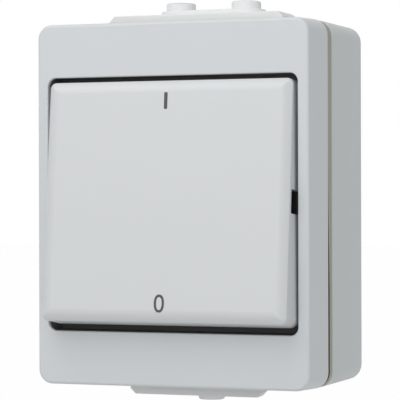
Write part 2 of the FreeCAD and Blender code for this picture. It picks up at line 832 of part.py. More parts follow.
def make_socket():
    """Insulating socket with a chamber for each seesaw, pockets for the terminals and wire entries."""
    half_x = socket_width / 2
    half_z = socket_height / 2
    body = block((-half_x, half_x), (socket_front_y, socket_back_y), (-half_z, half_z))
    for x in poles.values():
        body = body.cut(block((x - chamber_width / 2, x + chamber_width / 2), (socket_front_y, strip_back_y),
                              (-chamber_height / 2, chamber_height / 2)))
        for level in (-1, 1):
            body = body.cut(terminal_pocket(x, level))
            body = body.cut(wire_entry(x, level))
            body = body.cut(strip_slot(x, level))
    for side in (-1, 1):
        body = body.cut(block((side * (half_x - coring_depth), side * half_x),
                              (socket_front_y + coring_margin, socket_back_y - coring_margin),
                              (-half_z + coring_end, half_z - coring_end)))
    return body.removeSplitter()


def make_lid():
    """Lid of the socket, with two cheeks that carry the pin of the carrier."""
    half_x = socket_width / 2
    half_z = socket_height / 2
    body = block((-half_x, half_x), (lid_front_y, socket_front_y), (-half_z, half_z))
    crown = pin_radius + cheek_crown
    for side in (-1, 1):
        x_range = sorted((side * cheek_inside / 2, side * (cheek_inside / 2 + cheek_thickness)))
        profile = [(lid_front_y, -cheek_height / 2), (lid_front_y, cheek_height / 2), (pivot_y, crown),
                   (pivot_y - crown, crown / 2), (pivot_y - crown, -crown / 2), (pivot_y, -crown)]
        body = body.fuse(prism_along_x(profile, x_range))
    across = (-cheek_inside / 2 - cheek_thickness, cheek_inside / 2 + cheek_thickness)
    body = body.cut(rod_along_x(pin_radius + running_clearance / 2, across, pivot_y, 0.0))
    body = body.cut(block(across, (pivot_y - crown, pivot_y), (-cheek_throat, cheek_throat)))
    sway = math.tan(math.radians(button_tilt)) * barrel_reach
    room_z = barrel_half + sway + free_clearance
    room_x = barrel_half + free_clearance
    for x in poles.values():
        body = body.cut(block((x - room_x, x + room_x), (lid_front_y, socket_front_y), (-room_z, room_z)))
    return body.removeSplitter()


def make_pin():
    half = cheek_inside / 2 + cheek_thickness
    return rod_along_x(pin_radius, (-half, half), pivot_y, 0.0)


def save(name, shapes):
    if isinstance(shapes, list):
        shape = Part.makeCompound(shapes)
    else:
        shape = shapes
    for solid in shape.Solids:
        if not solid.isValid():
            print("not valid:", name)
    print(name, len(shape.Solids), round(shape.Volume, 1))
    shape.exportStep("parts/" + name + ".step")


def main():
    os.makedirs("parts", exist_ok=True)
    save("rear_box", make_rear_box())
    save("front_cover", make_cover())
    save("perimeter_gasket", make_gasket())
    save("top_cable_grommet", make_top_entry())
    save("bottom_cable_grommet", make_bottom_entry())
    save("rocker_seal", make_rocker_seal())
    save("cover_screws", make_cover_screws())
    save("mechanism_cradle", make_cradle())
    save("mechanism_socket", make_socket())
    save("mechanism_lid", make_lid())
    save("pivot_pin", make_pin())
    save("earth_terminal", make_earth_terminal())
    save("earth_terminal_spring", make_earth_spring())
    save("rocker_plate", pressed(make_rocker_plate()))
    save("inner_rocker", pressed(make_inner_rocker()))
    save("fixed_contact_tips", [make_fixed_tip(x) for x in poles.values()])
    save("upper_terminal_springs", [make_terminal_spring(x, 1) for x in poles.values()])
    save("lower_terminal_springs", [make_terminal_spring(x, -1) for x in poles.values()])
    for side, x in poles.items():
        save("spring_plunger_" + side, pressed(make_plunger(x)))
        save("toggle_spring_" + side, pressed(make_spring(x)))
        save("contact_seesaw_" + side, closed(make_seesaw(x)))
        save("moving_contact_" + side, closed(make_moving_contact(x)))
        save("seesaw_bearing_" + side, make_bearing(x))
        save("fixed_contact_" + side, make_fixed_contact(x))


main()
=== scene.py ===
import math

import bmesh
import bpy
from bpy.props import FloatProperty, FloatVectorProperty, IntProperty, PointerProperty
from mathutils import Matrix, Vector


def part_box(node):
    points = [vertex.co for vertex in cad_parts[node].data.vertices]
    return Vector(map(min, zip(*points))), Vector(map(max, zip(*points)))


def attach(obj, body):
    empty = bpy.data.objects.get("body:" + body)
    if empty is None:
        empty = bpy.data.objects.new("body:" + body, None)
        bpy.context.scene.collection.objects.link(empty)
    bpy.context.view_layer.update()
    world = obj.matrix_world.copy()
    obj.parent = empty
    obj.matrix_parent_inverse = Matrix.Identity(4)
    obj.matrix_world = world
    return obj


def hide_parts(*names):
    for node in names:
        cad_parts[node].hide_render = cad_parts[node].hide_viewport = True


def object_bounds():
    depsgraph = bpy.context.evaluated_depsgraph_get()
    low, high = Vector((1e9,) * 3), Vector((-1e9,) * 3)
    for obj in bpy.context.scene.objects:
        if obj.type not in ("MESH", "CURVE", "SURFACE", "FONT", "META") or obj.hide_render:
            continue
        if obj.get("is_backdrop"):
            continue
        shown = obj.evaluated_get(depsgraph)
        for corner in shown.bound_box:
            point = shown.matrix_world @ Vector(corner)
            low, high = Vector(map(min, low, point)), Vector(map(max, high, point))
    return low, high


bl_info = {
    "name": "Weatherproof Surface Switch",
    "version": (1, 0, 0),
    "blender": (4, 5, 0),
    "location": "View3D > Sidebar > Switch",
    "description": "Builds a light grey outdoor rocker switch round its packed frame",
    "category": "Object",
}

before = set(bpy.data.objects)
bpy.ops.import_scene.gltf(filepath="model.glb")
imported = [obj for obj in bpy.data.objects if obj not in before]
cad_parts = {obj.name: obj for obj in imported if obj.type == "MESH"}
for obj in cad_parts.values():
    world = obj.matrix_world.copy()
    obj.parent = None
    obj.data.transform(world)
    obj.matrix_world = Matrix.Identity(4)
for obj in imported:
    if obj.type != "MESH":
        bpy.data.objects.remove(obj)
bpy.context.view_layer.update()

# Fineness of the meshes, and the angles in them
CORNER_STEPS = 12
SIDE_STEPS = 3
OVAL_STEPS = 56
OVAL_POWER = 2.3
ARC_DEGREES = 14
SHARP_ANGLE = math.radians(35)
BEVEL_ANGLE = math.radians(30)
FLAT_ANGLE = math.radians(0.6)

# Sizes and places in metres
ON_MARK_HALF = (0.00041, 0.0019)
ON_MARK_PLACE = (-0.00013, 0, 0.0225)
OFF_MARK_HALF = (0.00122, 0.002)
OFF_MARK_PLACE = (-0.00018, 0, -0.02305)
SPRING_SIDES = (("left", -0.009), ("right", 0.009))
BARREL_START = 0.002
BARREL_RADIUS = 0.0014
BARREL_LENGTH = 0.0038

# Camera, lamps and floor
CAMERA_LENS = 187.92
CAMERA_PLACE = (0.17309, -0.47764, 0.00203)
CAMERA_FORWARD = (-0.35446, 0.93507, -0.00229)
CAMERA_ROLL = math.radians(-0.159)
LAMP_TARGET = (0, -0.02, 0)
FLOOR_GLOW = 0.985
WHITE = (1.0, 1.0, 1.0, 1.0)


# Settings that a user would change

def length(name, default, description):
    return FloatProperty(name=name, description=description, default=default, unit="LENGTH")


def slant(name, degrees, description):
    return FloatProperty(name=name, description=description, default=math.radians(degrees), subtype="ANGLE",
                         unit="ROTATION")


def power(name, default, description):
    return FloatProperty(name=name, description=description, default=default, unit="POWER")


def colour(name, default, description):
    return FloatVectorProperty(name=name, description=description, subtype="COLOR", size=3, default=default,
                               min=0.0, max=1.0)


class HousingSettings(bpy.types.PropertyGroup):
    width: length("Width", 0.0666, "Width of the housing at its seam")
    height: length("Height", 0.0836, "Height of the housing at its seam")
    corner: length("Corner", 0.0038, "Radius of the housing's corners seen from the front")
    taper: length("Taper", 0.0005, "How far the cover narrows on each side towards its front")
    front_edge: length("Front edge", 0.0007, "Radius of the edge round the cover's front")
    seam_front: length("Cover rim", -0.0273, "Place of the cover's rim along Y, with the wall at 0")
    seam_back: length("Box rim", -0.0242, "Place of the box's rim along Y, with the wall at 0")
    seam_opening: length("Seam opening", 0.0011, "How far the cover stands off its gasket low down")
    wall: length("Wall", 0.002, "Thickness of the moulded walls")
    window_width: length("Window width", 0.0604, "Width of the opening for the rocker")
    window_height: length("Window height", 0.0581, "Height of the opening for the rocker")
    window_corner: length("Window corner", 0.0019, "Radius of the window's corners")
    tray_depth: length("Tray depth", 0.009, "Depth of the tray behind the window")
    lip_depth: length("Lip depth", 0.0012, "Depth of the grey lip round the window")
    lining_room: length("Lining room", 0.0006, "Space for the seal's walls behind the lip")
    soft_edge: length("Soft edge", 0.0002, "Radius of the small edges of the mouldings")


class RockerSettings(bpy.types.PropertyGroup):
    width: length("Width", 0.0586, "Width of the rocker behind its bevel")
    height: length("Height", 0.0545, "Height of the rocker behind its bevel")
    corner: length("Corner", 0.00145, "Radius of the rocker's corners")
    bevel_width: length("Bevel width", 0.00135, "Width of the bevel round the face")
    bevel_depth: length("Bevel depth", 0.0015, "How far the bevel falls away from the face")
    bevel_blend: length("Bevel blend", 0.003, "Radius between the face and its bevel")
    arris: length("Arris", 0.0003, "Radius of the crisp edge between bevel and side wall")
    reach: length("Reach", 0.0094, "Distance from the pivot to the rocker's face")
    rim_reach: length("Rim reach", 0.0004, "Distance from the pivot to the rocker's rim")
    draft: slant("Draft", 3.5, "Slant of the rocker's side walls")
    wall: length("Wall", 0.0018, "Thickness of the rocker's walls")
    tilt: slant("Tilt", 5.5, "Slant of the rocker in its pressed position")
    pivot_depth: length("Pivot", -0.035, "Place of the pivot along Y, with the wall at 0")
    notch_height: length("Notch height", 0.0054, "Height of the lever notch in the right wall")
    notch_land: length("Notch land", 0.0024, "Distance from the face to the lever notch")
    mark_rise: length("Mark rise", 0.00005, "How far the on and off marks stand out of the face")
    mark_stroke: length("Mark stroke", 0.00055, "Line width of the off mark")


class EntrySettings(bpy.types.PropertyGroup):
    soft_edge: length("Soft edge", 0.00035, "Radius of the edges of the soft entries")


class FixingSettings(bpy.types.PropertyGroup):
    head_radius: length("Head radius", 0.0026, "Radius of a cover screw's head")
    recess: length("Recess", 0.003, "Length of the cross recess in a screw's head")
    spring_wire: length("Spring wire", 0.0004, "Thickness of the toggle springs' wire")
    spring_turns: IntProperty(name="Spring turns", description="Number of turns of a toggle spring",
                              default=5, min=2, max=12)


class FinishSettings(bpy.types.PropertyGroup):
    cover: colour("Cover", (0.635, 0.665, 0.68), "Colour of the cover")
    rocker: colour("Rocker", (0.655, 0.675, 0.685), "Colour of the rocker")
    box: colour("Box", (0.60, 0.64, 0.65), "Colour of the back box")
    entry: colour("Entries", (0.80, 0.815, 0.82), "Colour of the soft cable entries")
    gasket: colour("Gasket", (0.40, 0.385, 0.33), "Colour of the gasket in the seam")
    seal: colour("Seal", (0.14, 0.143, 0.137), "Colour of the seal behind the rocker")
    mark: colour("Marks", (0.075, 0.08, 0.085), "Colour of the on and off marks")


class StageSettings(bpy.types.PropertyGroup):
    floor_gap: length("Floor gap", 0.04, "Distance from the lowest point to the floor")
    key_power: power("Key lamp", 1.05, "Power of the upper lamp")
    front_power: power("Front lamp", 0.62, "Power of the lamp in front of the switch")
    side_power: power("Side lamp", 1.4, "Power of the lamp to the right")
    ambient: FloatProperty(name="Ambient", description="Strength of the even light from all round",
                           default=0.355, min=0.0, max=1.0)


# Mesh building

def added(name, data):
    """Puts new data into the scene as an object at the origin."""
    thing = bpy.data.objects.new(name, data)
    bpy.context.scene.collection.objects.link(thing)
    return thing


def plain_mesh(name, mesh):
    """Ends the bmesh as an object at the origin."""
    data = bpy.data.meshes.new(name)
    mesh.to_mesh(data)
    mesh.free()
    return added(name, data)


def ring(half_x, half_z, radius, y):
    """Points round a rounded rectangle in the plane at y, anticlockwise as seen from the front."""
    radius = max(min(radius, half_x - 1e-6, half_z - 1e-6), 1e-6)
    points = []
    corners = ((1, 1), (-1, 1), (-1, -1), (1, -1))
    for index, (side, level) in enumerate(corners):
        cx = side * (half_x - radius)
        cz = level * (half_z - radius)
        for step in range(CORNER_STEPS + 1):
            turn = math.radians(90 * (index + step / CORNER_STEPS))
            points.append(Vector((cx + radius * math.cos(turn), y, cz + radius * math.sin(turn))))
        following = corners[(index + 1) % 4]
        start = points[-1]
        turn = math.radians(90 * (index + 1))
        nx = following[0] * (half_x - radius) + radius * math.cos(turn)
        nz = following[1] * (half_z - radius) + radius * math.sin(turn)
        end = Vector((nx, y, nz))
        for step in range(1, SIDE_STEPS + 1):
            points.append(start.lerp(end, step / (SIDE_STEPS + 1)))
    return points


def oval_ring(half_x, half_z, y):
    """Points round an oval with slightly straightened sides in the plane at y."""
    points = []
    for step in range(OVAL_STEPS):
        turn = 2 * math.pi * step / OVAL_STEPS
        across = math.copysign(abs(math.cos(turn)) ** (2 / OVAL_POWER), math.cos(turn))
        along = math.copysign(abs(math.sin(turn)) ** (2 / OVAL_POWER), math.sin(turn))
        points.append(Vector((half_x * across, y, half_z * along)))
    return points


def rounded_steps(corners, closed):
    """Rounds the edges of a profile, and adds holding lines beside each arc.

    A corner of the profile is (half x, half z, corner radius, y, edge radius).
    """
    steps = []
    count = len(corners)
    for index, corner in enumerate(corners):
        half_x, half_z, radius, y, edge = corner
        here = Vector((half_x, y))
        if not closed and index in (0, count - 1) or edge <= 0:
            steps.append((half_x, half_z, radius, y))
            continue
        before = corners[index - 1]
        after = corners[(index + 1) % count]
        back = (Vector((before[0], before[3])) - here).normalized()
        ahead = (Vector((after[0], after[3])) - here).normalized()
        opening = math.acos(max(-1.0, min(1.0, back.dot(ahead))))
        reach = edge / math.tan(opening / 2)
        middle = here + (back + ahead).normalized() * (edge / math.sin(opening / 2))
        first = here + back * reach
        last = here + ahead * reach
        hold = min(0.3 * edge, 0.0001)
        arc = [first + back * hold, first]
        sweep = math.pi - opening
        arc_steps = max(3, int(math.degrees(sweep) / ARC_DEGREES))
        start_ray = first - middle
        cross = start_ray.x * (last - middle).y - start_ray.y * (last - middle).x
        direction = 1.0 if cross > 0 else -1.0
        for step in range(1, arc_steps):
            turn = direction * sweep * step / arc_steps
            ray = Vector((start_ray.x * math.cos(turn) - start_ray.y * math.sin(turn),
                          start_ray.x * math.sin(turn) + start_ray.y * math.cos(turn)))
            arc.append(middle + ray)
        arc += [last, last + ahead * hold]
        for place in arc:
            shift = place.x - half_x
            steps.append((half_x + shift, half_z + shift, radius + shift, place.y))
    return steps


def add_rings(mesh, rings, closed):
    """Adds a skin over rings of equally many points, closed on itself or else capped at both ends."""
    rows = [[mesh.verts.new(place) for place in points] for points in rings]
    size = len(rows[0])
    pairs = list(zip(rows, rows[1:]))
    if closed:
        pairs.append((rows[-1], rows[0]))
    for low, high in pairs:
        for index in range(size):
            after = (index + 1) % size
            mesh.faces.new((low[index], low[after], high[after], high[index]))
    if not closed:
        mesh.faces.new(rows[0])
        mesh.faces.new(list(reversed(rows[-1])))


def moulded_ring(corners, closed=True):
    """Moulding whose section follows a rounded profile all the way round."""
    mesh = bmesh.new()
    add_rings(mesh, [ring(*step) for step in rounded_steps(corners, closed)], closed)
    return mesh


def turned(profile, steps):
    """Solid of revolution about Z from (radius, height) pairs, closed at both poles."""
    mesh = bmesh.new()
    turns = [2 * math.pi * k / steps for k in range(steps)]
    add_rings(mesh, [[Vector((radius * math.cos(turn), radius * math.sin(turn), height)) for turn in turns]
                     for radius, height in profile], False)
    return mesh


def smoothed(thing):
    """Shades a piece smooth and keeps its sharp edges."""
    thing.data.shade_smooth()
    thing.data.set_sharp_from_angle(angle=SHARP_ANGLE)
    return thing


def finish_mesh(name, mesh):
    """Ends the bmesh as an object with outward faces and sharp edges kept."""
    bmesh.ops.remove_doubles(mesh, verts=mesh.verts, dist=1e-7)
    bmesh.ops.recalc_face_normals(mesh, faces=mesh.faces)
    return smoothed(plain_mesh(name, mesh))


def applied(thing):
    """Turns the live modifiers into plain mesh, and takes them off."""
    bpy.context.view_layer.update()
    graph = bpy.context.evaluated_depsgraph_get()
    data = bpy.data.meshes.new_from_object(thing.evaluated_get(graph), depsgraph=graph)
    data.name = thing.name
    thing.modifiers.clear()
    old = thing.data
    thing.data = data
    bpy.data.meshes.remove(old)
    return thing


def cad_copy(part, name, whole=True):
    """Merged copy of a CAD node's mesh. Its flat faces are made whole only when whole is true, which is meant
    for pieces where none of them has a hole.
    """
    mesh = bmesh.new()
    mesh.from_mesh(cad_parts[part].data)
    bmesh.ops.remove_doubles(mesh, verts=mesh.verts, dist=2e-6)
    if whole:
        bmesh.ops.dissolve_limit(mesh, angle_limit=FLAT_ANGLE, verts=mesh.verts, edges=mesh.edges)
    return plain_mesh(name, mesh)


def softened(thing, width, segments=3):
    """Rounds the sharp edges of a piece and keeps its flat faces flat."""
    for face in thing.data.polygons:
        face.use_smooth = True
    bevel = thing.modifiers.new("soft edges", "BEVEL")
    bevel.width = width
    bevel.segments = segments
    bevel.limit_method = "ANGLE"
    bevel.angle_limit = BEVEL_ANGLE
    bevel.use_clamp_overlap = True
    bevel.harden_normals = True
    bevel.miter_outer = "MITER_ARC"
    return applied(thing)


def cut_out(thing, cutter):
    """Takes the cutter's form out of the piece."""
    boolean = thing.modifiers.new("cut", "BOOLEAN")
    boolean.operation = "DIFFERENCE"
    boolean.solver = "EXACT"
    boolean.object = cutter
    applied(thing)
    data = cutter.data
    bpy.data.objects.remove(cutter)
    bpy.data.meshes.remove(data)
    return thing


def box_mesh(low, high):
    """Block between two corners."""
    mesh = bmesh.new()
    bmesh.ops.create_cube(mesh, size=1.0)
    size = [high[i] - low[i] for i in range(3)]
    middle = [(high[i] + low[i]) / 2 for i in range(3)]
    bmesh.ops.scale(mesh, vec=size, verts=mesh.verts)
    bmesh.ops.translate(mesh, vec=middle, verts=mesh.verts)
    return mesh


def rocker_turn():
    """Matrix that turns a piece of the rocker from its middle position to the pressed one."""
    settings = bpy.context.scene.switch_rocker
    place = Vector((0, settings.pivot_depth, 0))
    return Matrix.Translation(place) @ Matrix.Rotation(-settings.tilt, 4, "X") @ Matrix.Translation(-place)


def join_body(thing, body, slot, material, *nodes):
    """Gives a piece its finish, its body and the nodes that it stands for."""
    thing.data.materials.clear()
    thing.data.materials.append(material)
    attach(thing, body)
    if nodes:
        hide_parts(*nodes)
    return thing


# Materials

def node(tree, kind, inputs=None, **settings):
    """Adds a node; each input is given as a value or as the socket that feeds it."""
    fresh = tree.nodes.new(kind)
    for name, value in settings.items():
        setattr(fresh, name, value)
    for key, value in (inputs or {}).items():
        if isinstance(value, bpy.types.NodeSocket):
            tree.links.new(value, fresh.inputs[key])
        else:
            fresh.inputs[key].default_value = value
    return fresh


def maths(tree, operation, *values):
    """Result of a maths node on values and sockets."""
    return node(tree, "ShaderNodeMath", dict(enumerate(values)), operation=operation).outputs[0]


def scaled(tree, vector, factor):
    """A vector or a colour times a factor."""
    return node(tree, "ShaderNodeVectorMath", {0: vector, "Scale": factor}, operation="SCALE").outputs[0]


def surface_group(name, floats):
    """Empty group from a colour and some floats to a colour, a roughness and a normal."""
    tree = bpy.data.node_groups.new(name, "ShaderNodeTree")
    inputs = [("Colour", "NodeSocketColor", (0.6, 0.6, 0.6, 1.0))]
    inputs += [(label, "NodeSocketFloat", default) for label, default in floats]
    for label, kind, default in inputs:
        socket = tree.interface.new_socket(label, in_out="INPUT", socket_type=kind)
        socket.default_value = default
    for label, kind in (("Colour", "NodeSocketColor"), ("Roughness", "NodeSocketFloat"),
                        ("Normal", "NodeSocketVector")):
        tree.interface.new_socket(label, in_out="OUTPUT", socket_type=kind)
    return tree, tree.nodes.new("NodeGroupInput").outputs


def moulded_skin_group():
    """Fine spark-eroded skin: gives the tinted colour, the roughness and the normal of a moulding."""
    name = "Moulded Skin"
    if name in bpy.data.node_groups:
        return bpy.data.node_groups[name]
    tree, given = surface_group(name, (("Mottle", 0.02), ("Grain Scale", 2600.0), ("Grain Depth", 0.05),
                                       ("Roughness", 0.5), ("Roughness Spread", 0.05)))
    place = node(tree, "ShaderNodeTexCoord").outputs["Object"]
    cloud = node(tree, "ShaderNodeTexNoise", {"Vector": place, "Scale": 70.0, "Detail": 3.0})
    grain = node(tree, "ShaderNodeTexNoise", {"Vector": place, "Scale": given["Grain Scale"], "Detail": 2.0,
                                              "Roughness": 0.6})
    centred = maths(tree, "SUBTRACT", cloud.outputs["Fac"], 0.5)
    factor = maths(tree, "ADD", maths(tree, "MULTIPLY", centred, given["Mottle"]), 1.0)
    bump = node(tree, "ShaderNodeBump", {"Strength": given["Grain Depth"], "Distance": 0.00002,
                                         "Height": grain.outputs["Fac"]})
    node(tree, "NodeGroupOutput", {
        "Colour": scaled(tree, given["Colour"], factor),
        "Roughness": maths(tree, "MULTIPLY_ADD", centred, given["Roughness Spread"], given["Roughness"]),
        "Normal": bump.outputs["Normal"]})
    return tree


def drawn_metal_group():
    """Fine lines along one direction: gives the colour, the roughness and the normal of drawn metal."""
    name = "Drawn Metal"
    if name in bpy.data.node_groups:
        return bpy.data.node_groups[name]
    tree, given = surface_group(name, (("Tarnish", 0.1), ("Line Scale", 900.0), ("Roughness", 0.3)))
    place = node(tree, "ShaderNodeTexCoord").outputs["Object"]
    stretch = node(tree, "ShaderNodeMapping", {"Vector": place, "Scale": (1.0, 1.0, 0.06)})
    lines = node(tree, "ShaderNodeTexNoise", {"Vector": stretch.outputs["Vector"], "Detail": 2.0,
                                              "Scale": given["Line Scale"]}).outputs["Fac"]
    cloud = node(tree, "ShaderNodeTexNoise", {"Vector": place, "Scale": 260.0}).outputs["Fac"]
    clean = maths(tree, "SUBTRACT", 1.0, maths(tree, "MULTIPLY", cloud, given["Tarnish"]))
    bump = node(tree, "ShaderNodeBump", {"Strength": 0.15, "Distance": 0.00002, "Height": lines})
    node(tree, "NodeGroupOutput", {
        "Colour": scaled(tree, given["Colour"], clean),
        "Roughness": maths(tree, "MULTIPLY_ADD", lines, 0.2, given["Roughness"]),
        "Normal": bump.outputs["Normal"]})
    return tree


def new_material(name):
    material = bpy.data.materials.new(name)
    material.use_nodes = True
    tree = material.node_tree
    return material, tree, tree.nodes["Principled BSDF"]


def surfaced(name, group, inputs, extra, value):
    """Material whose colour, roughness and normal come from a group; extra is one more shader input."""
    if name in bpy.data.materials:
        return bpy.data.materials[name]
    material, tree, shader = new_material(name)
    skin = node(tree, "ShaderNodeGroup", inputs, node_tree=group)
    for label, target in (("Colour", "Base Color"), ("Roughness", "Roughness"), ("Normal", "Normal")):
        tree.links.new(skin.outputs[label], shader.inputs[target])
    shader.inputs[extra].default_value = value
    return material


def moulded(name, tone, roughness, mottle, depth, scale=2600.0, specular=0.5):
    """Satin moulded plastic or rubber."""
    inputs = {"Colour": (*tone, 1.0), "Mottle": mottle, "Grain Scale": scale, "Grain Depth": depth,
              "Roughness": roughness}
    return surfaced(name, moulded_skin_group(), inputs, "Specular IOR Level", specular)


def drawn(name, tone, roughness, tarnish):
    """Plated, drawn or stamped metal."""
    inputs = {"Colour": (*tone, 1.0), "Tarnish": tarnish, "Roughness": roughness}
    return surfaced(name, drawn_metal_group(), inputs, "Metallic", 1.0)


def painted_seam_shade(material, painted_shade_colour):
    """Darkens the faces of a material that look to the front with painted shade, which stands in for the
    shadow inside an open joint.
    """
    tree = material.node_tree
    base = tree.nodes["Principled BSDF"].inputs["Base Color"]
    tint = base.links[0].from_socket
    if tint.node.type == "MIX":
        return material
    place = node(tree, "ShaderNodeTexCoord").outputs["Normal"]
    parts = node(tree, "ShaderNodeSeparateXYZ", {0: place})
    # Mask of the faces looking to the front, which get the painted shade
    front = maths(tree, "LESS_THAN", parts.outputs["Y"], -0.3)
    mix = node(tree, "ShaderNodeMix", {"Factor": front}, data_type="RGBA")
    plain, painted_shade_input = [socket for socket in mix.inputs if socket.type == "RGBA"]
    painted_shade_input.default_value = (*painted_shade_colour, 1.0)
    tree.links.new(tint, plain)
    tree.links.new([socket for socket in mix.outputs if socket.type == "RGBA"][0], base)
    return material


# Material, colour or the setting that holds it, roughness, mottle, grain depth, grain scale, specular
MOULDINGS = {
    "cover": ("cover plastic", "cover", 0.46, 0.02, 0.10),
    "rocker": ("rocker plastic", "rocker", 0.42, 0.02, 0.08),
    "box": ("box plastic", "box", 0.5, 0.03, 0.14),
    "entry": ("entry rubber", "entry", 0.62, 0.04, 0.2, 1800.0, 0.4),
    "gasket": ("gasket rubber", "gasket", 0.7, 0.08, 0.25, 1500.0, 0.35),
    "seal": ("seal rubber", "seal", 0.55, 0.3, 0.25, 1500.0, 0.4),
    "mark": ("mark ink", "mark", 0.55, 0.1, 0.1, 3000.0, 0.4),
    "socket": ("socket plastic", (0.42, 0.42, 0.41), 0.55, 0.05, 0.2, 1900.0),
    "lid": ("lid plastic", (0.52, 0.52, 0.50), 0.52, 0.05, 0.2, 1900.0),
    "plunger": ("plunger plastic", (0.68, 0.66, 0.58), 0.4, 0.05, 0.1, 1900.0),
}
# Material, colour, roughness, tarnish
METALS = {
    "zinc": ("zinc steel", (0.62, 0.62, 0.60), 0.3, 0.2),
    "spring": ("spring steel", (0.55, 0.55, 0.56), 0.22, 0.12),
    "brass": ("brass", (0.78, 0.57, 0.27), 0.28, 0.18),
    "copper": ("copper strip", (0.80, 0.47, 0.30), 0.27, 0.25),
    "silver": ("silver contact", (0.86, 0.85, 0.82), 0.24, 0.12),
}


def finish(kind):
    """The finish of one kind of piece."""
    if kind in METALS:
        return drawn(*METALS[kind])
    name, tone, *skin = MOULDINGS[kind]
    if isinstance(tone, str):
        tone = getattr(bpy.context.scene.switch_finish, tone)
    material = moulded(name, tone, *skin)
    # The gasket's front faces get near-black painted shade, which stands in for the shadow in the open seam
    return painted_seam_shade(material, (0.01, 0.01, 0.01)) if kind == "gasket" else material


# Geometry Nodes trees

def geometry_tree(name, values, with_geometry=True):
    """Empty tree that takes a geometry, some values and a material, and gives a geometry."""
    tree = bpy.data.node_groups.new(name, "GeometryNodeTree")
    if with_geometry:
        tree.interface.new_socket("Geometry", in_out="INPUT", socket_type="NodeSocketGeometry")
    for label, default in values:
        kind = "NodeSocketInt" if isinstance(default, int) else "NodeSocketFloat"
        socket = tree.interface.new_socket(label, in_out="INPUT", socket_type=kind)
        socket.default_value = default
    tree.interface.new_socket("Material", in_out="INPUT", socket_type="NodeSocketMaterial")
    tree.interface.new_socket("Geometry", in_out="OUTPUT", socket_type="NodeSocketGeometry")
    return tree, tree.nodes.new("NodeGroupInput").outputs


def end_tree(tree, given, geometry):
    """Ends a tree with real meshes that carry their material."""
    real = node(tree, "GeometryNodeRealizeInstances", {"Geometry": geometry})
    paint = node(tree, "GeometryNodeSetMaterial", {"Geometry": real.outputs["Geometry"],
                                                   "Material": given["Material"]})
    node(tree, "NodeGroupOutput", {"Geometry": paint.outputs["Geometry"]})
    return tree


def row_tree():
    """Repeats the incoming piece in a row, by count and spacing."""
    name = "Row of Pieces"
    if name in bpy.data.node_groups:
        return bpy.data.node_groups[name]
    tree, given = geometry_tree(name, (("Count", 2), ("Spacing X", 0.0), ("Spacing Z", 0.0)))
    step = node(tree, "ShaderNodeCombineXYZ", {"X": given["Spacing X"], "Z": given["Spacing Z"]}).outputs[0]
    half = maths(tree, "MULTIPLY", maths(tree, "SUBTRACT", given["Count"], 1.0), -0.5)
    line = node(tree, "GeometryNodeMeshLine", {"Count": given["Count"], "Offset": step,
                                               "Start Location": scaled(tree, step, half)}, mode="OFFSET")
    place = node(tree, "GeometryNodeInstanceOnPoints", {"Points": line.outputs["Mesh"],
                                                        "Instance": given["Geometry"]})
    return end_tree(tree, given, place.outputs["Instances"])


def coil_tree():
    """Round wire wound into a coil along Y."""
    name = "Coil Spring"
    if name in bpy.data.node_groups:
        return bpy.data.node_groups[name]
    tree, given = geometry_tree(name, (("Turns", 5.0), ("Coil Radius", 0.0014), ("Wire", 0.0004),
                                       ("Length", 0.003), ("Start Y", 0.0), ("Start X", 0.0)), False)
    spiral = node(tree, "GeometryNodeCurveSpiral", {
        "Resolution": 18, "Rotations": given["Turns"], "Start Radius": given["Coil Radius"],
        "End Radius": given["Coil Radius"], "Height": given["Length"]})
    wire = node(tree, "GeometryNodeCurvePrimitiveCircle", {
        "Resolution": 8, "Radius": maths(tree, "MULTIPLY", given["Wire"], 0.5)})
    skin = node(tree, "GeometryNodeCurveToMesh", {
        "Curve": spiral.outputs["Curve"], "Profile Curve": wire.outputs["Curve"], "Fill Caps": True})
    place = node(tree, "ShaderNodeCombineXYZ", {"X": given["Start X"], "Y": given["Start Y"]})
    move = node(tree, "GeometryNodeTransform", {
        "Geometry": skin.outputs["Mesh"], "Translation": place.outputs[0],
        "Rotation": (-math.pi / 2, 0.0, 0.0)})
    return end_tree(tree, given, move.outputs["Geometry"])


def grown(thing, tree, values):
    """Runs a tree on a piece with the given inputs, and keeps the result as plain mesh."""
    modifier = thing.modifiers.new(tree.name, "NODES")
    modifier.node_group = tree
    for item in tree.interface.items_tree:
        if item.item_type == "SOCKET" and item.in_out == "INPUT" and item.name in values:
            modifier[item.identifier] = values[item.name]
    return smoothed(applied(thing))


# Operators, one for each piece or group of like pieces

class BuildOperator:
    bl_options = {"REGISTER", "UNDO"}


class SWITCH_OT_cover(BuildOperator, bpy.types.Operator):
    """Build the front cover with its tray and window"""
    bl_idname = "switch.cover"
    bl_label = "Front cover"

    def execute(self, context):
        size = context.scene.switch_housing
        low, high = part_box("front_cover")
        front = low.y
        rim = high.y
        half_x = size.width / 2
        half_z = size.height / 2
        inner_corner = size.corner - size.wall
        inner = front + size.wall
        window = (size.window_width / 2, size.window_height / 2, size.window_corner)
        soft = size.soft_edge
        lip = front + size.lip_depth
        floor = front + size.tray_depth
        floor_wall = 0.0015
        room_x = window[0] + size.lining_room
        room_z = window[1] + size.lining_room
        opening = (0.021, 0.0125, 0.002)
        corners = [
            (half_x, half_z, size.corner, rim, soft),
            (half_x - size.taper, half_z - size.taper, size.corner - size.taper, front, size.front_edge),
            (*window, front, 0.0003),
            (*window, lip, 0.0001),
            (room_x, room_z, 0.0003, lip, 0.0),
            (room_x, room_z, 0.0003, floor, 0.0),
            (*opening, floor, soft),
            (*opening, floor + floor_wall, soft),
            (room_x + floor_wall, room_z + floor_wall, 0.001, floor + floor_wall, soft),
            (room_x + floor_wall, room_z + floor_wall, 0.001, inner, 0.0),
            (half_x - size.wall - 0.0001, half_z - size.wall, inner_corner, inner, 0.0),
            (half_x - size.wall, half_z - size.wall, inner_corner, rim, soft),
        ]
        cover = finish_mesh("cover_shell", moulded_ring(corners))
        join_body(cover, "root", "cover_plastic", finish("cover"), "front_cover")
        return {"FINISHED"}


